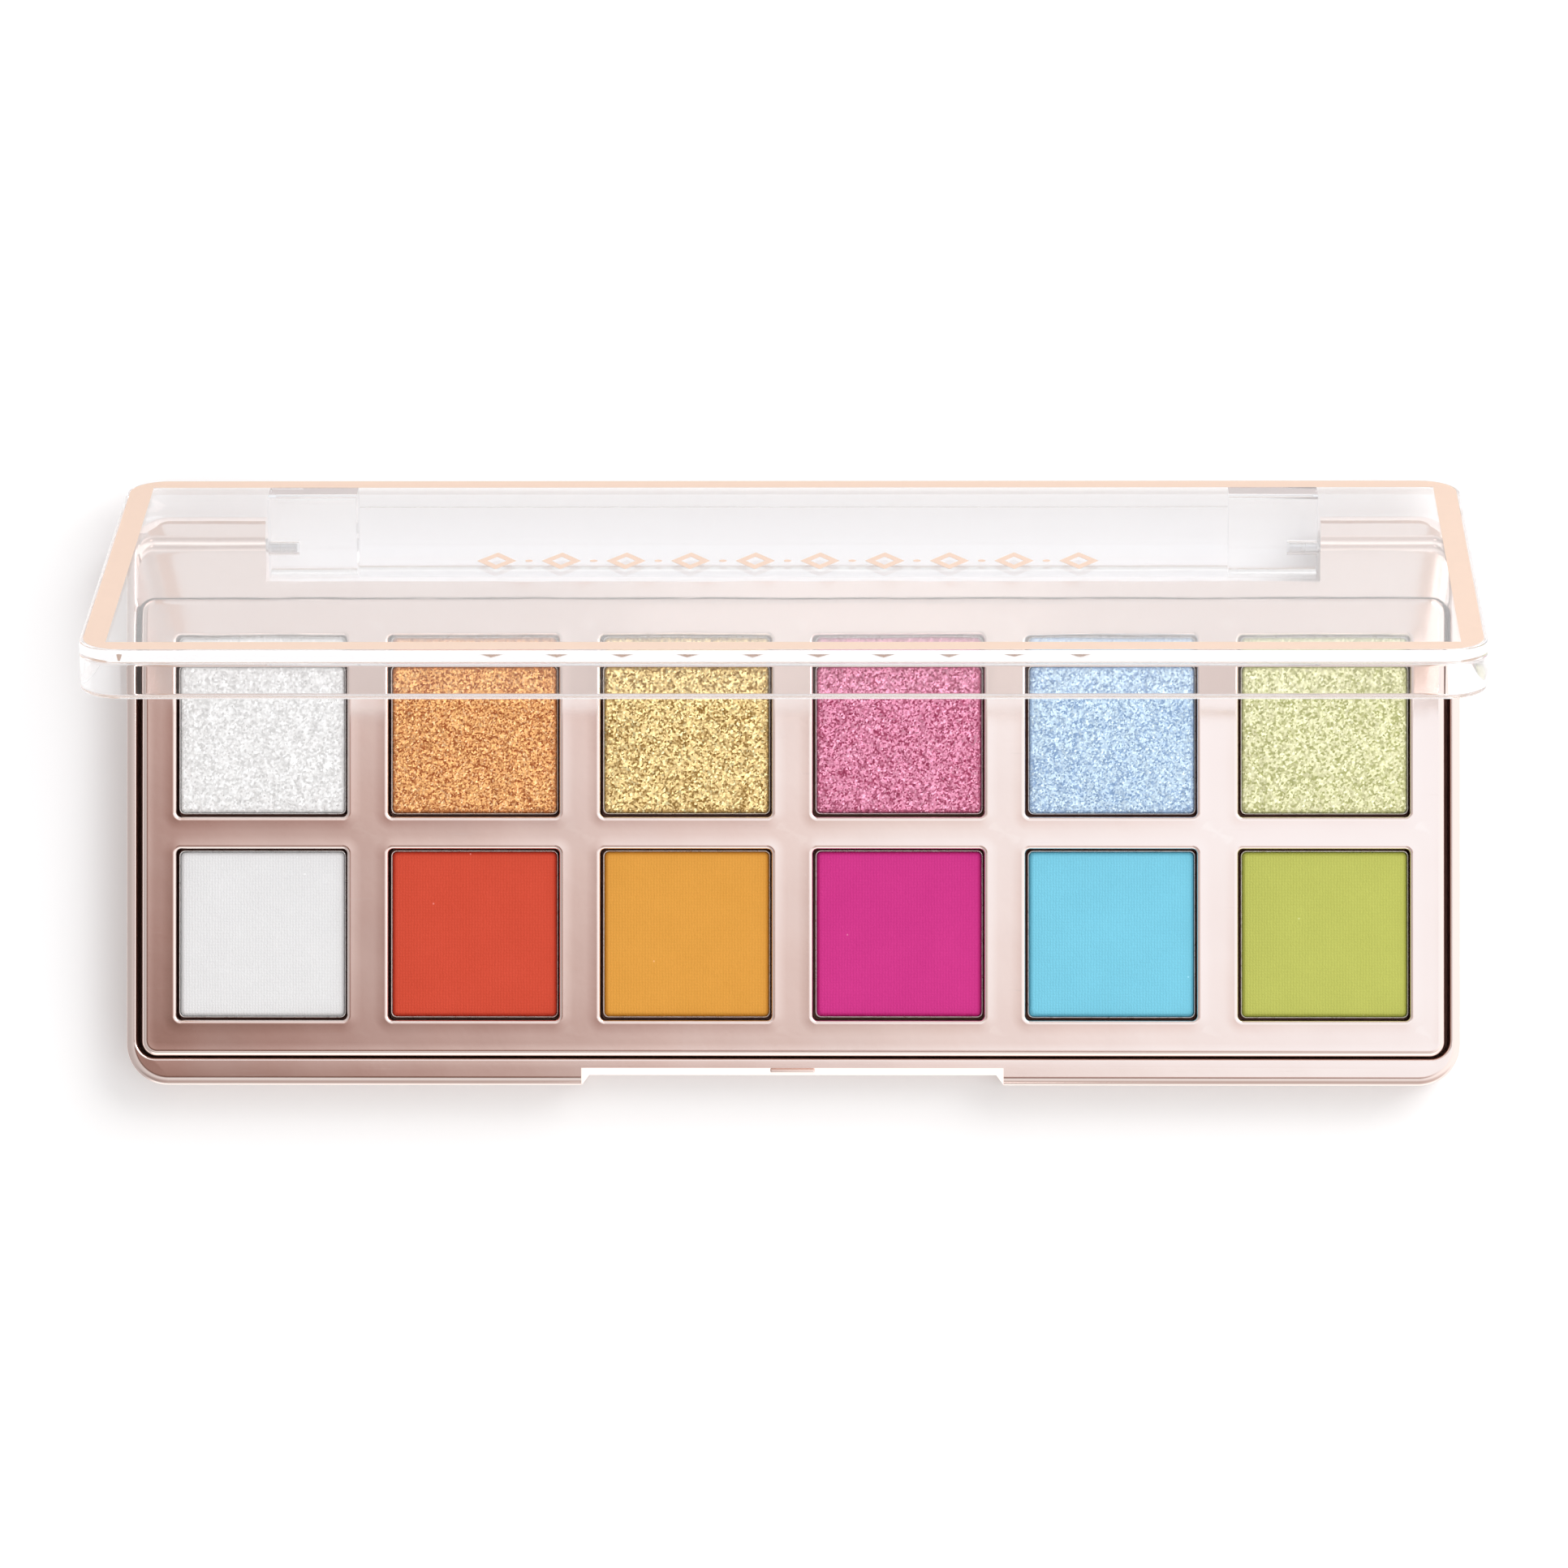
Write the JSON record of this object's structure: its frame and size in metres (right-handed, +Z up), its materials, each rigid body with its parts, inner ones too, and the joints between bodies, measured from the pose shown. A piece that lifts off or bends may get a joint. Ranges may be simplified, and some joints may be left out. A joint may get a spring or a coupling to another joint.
{
  "type": "eyeshadow palette",
  "caption": "Slim rectangular eyeshadow palette: metallised rose-gold base and tray, square pans of shimmer and matte powder, clear hinged lid with a printed border.",
  "frame": {"origin": "centre of the base's flat underside", "axes": "+X to the right along the hinge, +Y to the hinge side, +Z up out of the pans; the lid is shown open"},
  "size_m": [0.161, 0.0731, 0.0673],
  "materials": {
    "rose_gold": "metallised rose gold, satin gloss",
    "tinplate": "bare pressed metal",
    "pin_steel": "drawn wire",
    "glue": "set hot melt glue",
    "clear_plastic": "clear polished plastic",
    "lid_print": "peach ink printed on the lid",
    "silver_white": "pressed shimmer powder",
    "copper_orange": "pressed shimmer powder",
    "gold_foil": "pressed shimmer powder",
    "pink_shimmer": "pressed shimmer powder",
    "ice_blue": "pressed shimmer powder",
    "lime_shimmer": "pressed shimmer powder",
    "matte_white": "pressed matte powder",
    "matte_red": "pressed matte powder",
    "matte_mustard": "pressed matte powder",
    "matte_magenta": "pressed matte powder",
    "matte_sky": "pressed matte powder",
    "matte_green": "pressed matte powder"
  },
  "bodies": {
    "base": {"base_shell": "rose_gold", "pan_tray": "rose_gold", "glue_dot_back_1": "glue", "pan_back_1": "tinplate", "powder_back_1": "silver_white", "glue_dot_back_2": "glue", "pan_back_2": "tinplate", "powder_back_2": "copper_orange", "glue_dot_back_3": "glue", "pan_back_3": "tinplate", "powder_back_3": "gold_foil", "glue_dot_back_4": "glue", "pan_back_4": "tinplate", "powder_back_4": "pink_shimmer", "glue_dot_back_5": "glue", "pan_back_5": "tinplate", "powder_back_5": "ice_blue", "glue_dot_back_6": "glue", "pan_back_6": "tinplate", "powder_back_6": "lime_shimmer", "glue_dot_front_1": "glue", "pan_front_1": "tinplate", "powder_front_1": "matte_white", "glue_dot_front_2": "glue", "pan_front_2": "tinplate", "powder_front_2": "matte_red", "glue_dot_front_3": "glue", "pan_front_3": "tinplate", "powder_front_3": "matte_mustard", "glue_dot_front_4": "glue", "pan_front_4": "tinplate", "powder_front_4": "matte_magenta", "glue_dot_front_5": "glue", "pan_front_5": "tinplate", "powder_front_5": "matte_sky", "glue_dot_front_6": "glue", "pan_front_6": "tinplate", "powder_front_6": "matte_green", "hinge_pin_left": "pin_steel", "hinge_pin_right": "pin_steel"},
    "lid": {"lid_shell": "clear_plastic"}
  },
  "joints": [
    {"name": "lid_hinge", "type": "hinge", "parent": "base", "child": "lid", "pos_m": [0, 0.03, 0.0042], "axis": [-1, 0, 0], "range_deg": [-71, 19]}
  ]
}
